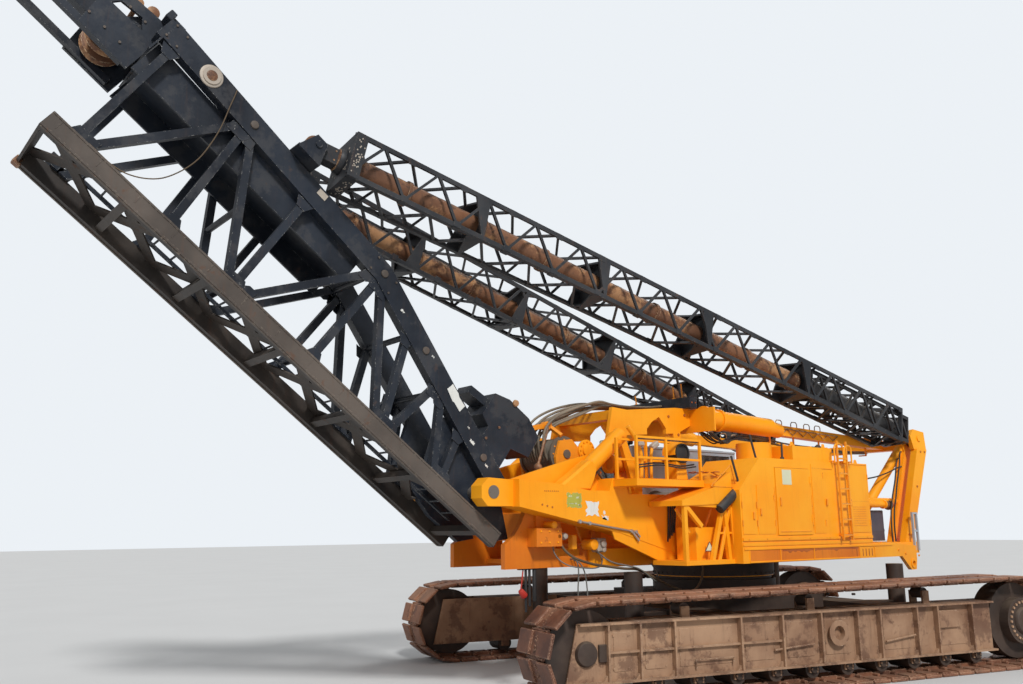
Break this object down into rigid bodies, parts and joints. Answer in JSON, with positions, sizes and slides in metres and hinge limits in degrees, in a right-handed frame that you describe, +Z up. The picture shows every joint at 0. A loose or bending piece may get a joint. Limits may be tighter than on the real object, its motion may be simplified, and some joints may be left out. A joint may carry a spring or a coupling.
{
  "type": "crawler crane with a leaning piling leader",
  "caption": "Crawler crane base on two tracks, with a lattice piling leader leaning forward on a front bracket and held by two caged telescopic backstays.",
  "frame": {"origin": "on the ground under the middle of the machine's bounding box", "axes": "+X forward toward the leader, +Y the machine's left, +Z up"},
  "size_m": [15.7285, 7.3112, 8.529],
  "materials": {
    "track_steel": "rusted and dusty",
    "running_gear": "rusted paint",
    "grey_steel": "worn satin",
    "cab_paint": "satin, dusty",
    "window_glass": "dusty clear",
    "black_paint": "worn satin, chipped",
    "pin_steel": "greased, rusty",
    "barrel_paint": "worn satin",
    "stay_steel": "rusty, chipped",
    "amber_paint": "satin, sun-faded, rust spots"
  },
  "bodies": {
    "base": {"carbody": "running_gear", "frame_left": "running_gear", "frame_right": "running_gear", "wheels_left": "running_gear", "wheels_right": "running_gear", "track_left": "track_steel", "track_right": "track_steel"},
    "upper": {"deck": "amber_paint", "house_left": "amber_paint", "engine_block": "grey_steel", "cab_shell": "cab_paint", "cab_glass": "window_glass", "arms": "amber_paint", "front_frame": "amber_paint", "struts": "amber_paint", "mast": "amber_paint", "black_beam": "black_paint", "top_tubes": "amber_paint", "rear_gantry": "amber_paint", "winch_frame": "amber_paint", "platform": "amber_paint", "ladder": "amber_paint", "rear_rail": "grey_steel"},
    "leader": {"leader_rails": "black_paint", "leader_sides": "black_paint", "leader_box": "black_paint", "leader_head": "black_paint", "leader_foot": "black_paint", "hinge_pins": "pin_steel"},
    "cab_door": {"cab_door": "cab_paint", "door_glass": "window_glass"},
    "jack_front_left": {"jack_front_left": "grey_steel"},
    "jack_front_right": {"jack_front_right": "grey_steel"},
    "jack_rear_left": {"jack_rear_left": "grey_steel"},
    "jack_rear_right": {"jack_rear_right": "grey_steel"},
    "winch_front": {"winch_front": "grey_steel"},
    "winch_rear": {"winch_rear": "grey_steel"},
    "house_door": {"house_door": "amber_paint"},
    "barrel_left": {"barrel_left": "barrel_paint"},
    "barrel_right": {"barrel_right": "barrel_paint"},
    "stay_left": {"stay_left": "black_paint", "tube_left": "stay_steel"},
    "stay_right": {"stay_right": "black_paint", "tube_right": "stay_steel"}
  },
  "joints": [
    {"name": "slew", "type": "hinge", "parent": "base", "child": "upper", "pos_m": [-3.06072, 0, 1.4], "axis": [0, 0, 1], "continuous": true},
    {"name": "leader_tilt", "type": "hinge", "parent": "upper", "child": "leader", "pos_m": [1.91478, 0, 2.49641], "axis": [0, 1, 0], "range_deg": [0, 15]},
    {"name": "stay_left_swing", "type": "hinge", "parent": "upper", "child": "barrel_left", "pos_m": [-6.86172, 1.415, 3.523], "axis": [0.0537, 0.9964, 0.0658], "range_deg": [0, 4.57]},
    {"name": "stay_left_extend", "type": "slide", "parent": "barrel_left", "child": "stay_left", "axis": [0.9664, -0.0685, 0.2479], "range_m": [0, 0.7602]},
    {"name": "stay_right_swing", "type": "hinge", "parent": "upper", "child": "barrel_right", "pos_m": [-6.86172, -1.415, 3.523], "axis": [-0.0537, 0.9964, -0.0658], "range_deg": [0, 4.57]},
    {"name": "stay_right_extend", "type": "slide", "parent": "barrel_right", "child": "stay_right", "axis": [0.9664, 0.0685, 0.2479], "range_m": [0, 0.7602]},
    {"name": "front_drum_turn", "type": "hinge", "parent": "upper", "child": "winch_front", "pos_m": [0.31228, 0, 3.05], "axis": [0, 1, 0], "continuous": true},
    {"name": "rear_drum_turn", "type": "hinge", "parent": "upper", "child": "winch_rear", "pos_m": [-2.28772, 0, 2.38], "axis": [0, 1, 0], "continuous": true},
    {"name": "house_door_swing", "type": "hinge", "parent": "upper", "child": "house_door", "pos_m": [-3.28972, 1.734, 2.4], "axis": [0, 0, 1], "range_deg": [0, 100]},
    {"name": "cab_door_swing", "type": "hinge", "parent": "upper", "child": "cab_door", "pos_m": [-3.24472, -1.734, 2.4], "axis": [0, 0, -1], "range_deg": [0, 100]},
    {"name": "jack_front_left_lower", "type": "slide", "parent": "base", "child": "jack_front_left", "axis": [0, 0, -1], "range_m": [0, 0.54]},
    {"name": "jack_front_right_lower", "type": "slide", "parent": "base", "child": "jack_front_right", "axis": [0, 0, -1], "range_m": [0, 0.54]},
    {"name": "jack_rear_left_lower", "type": "slide", "parent": "base", "child": "jack_rear_left", "axis": [0, 0, -1], "range_m": [0, 0.54]},
    {"name": "jack_rear_right_lower", "type": "slide", "parent": "base", "child": "jack_rear_right", "axis": [0, 0, -1], "range_m": [0, 0.54]}
  ],
  "couplings": [
    {"joint": "stay_left_swing", "follows": "leader_tilt", "ratio": 0.29875},
    {"joint": "stay_left_extend", "follows": "leader_tilt", "m_per_rad": 2.847},
    {"joint": "stay_right_swing", "follows": "leader_tilt", "ratio": 0.29875},
    {"joint": "stay_right_extend", "follows": "leader_tilt", "m_per_rad": 2.847}
  ]
}
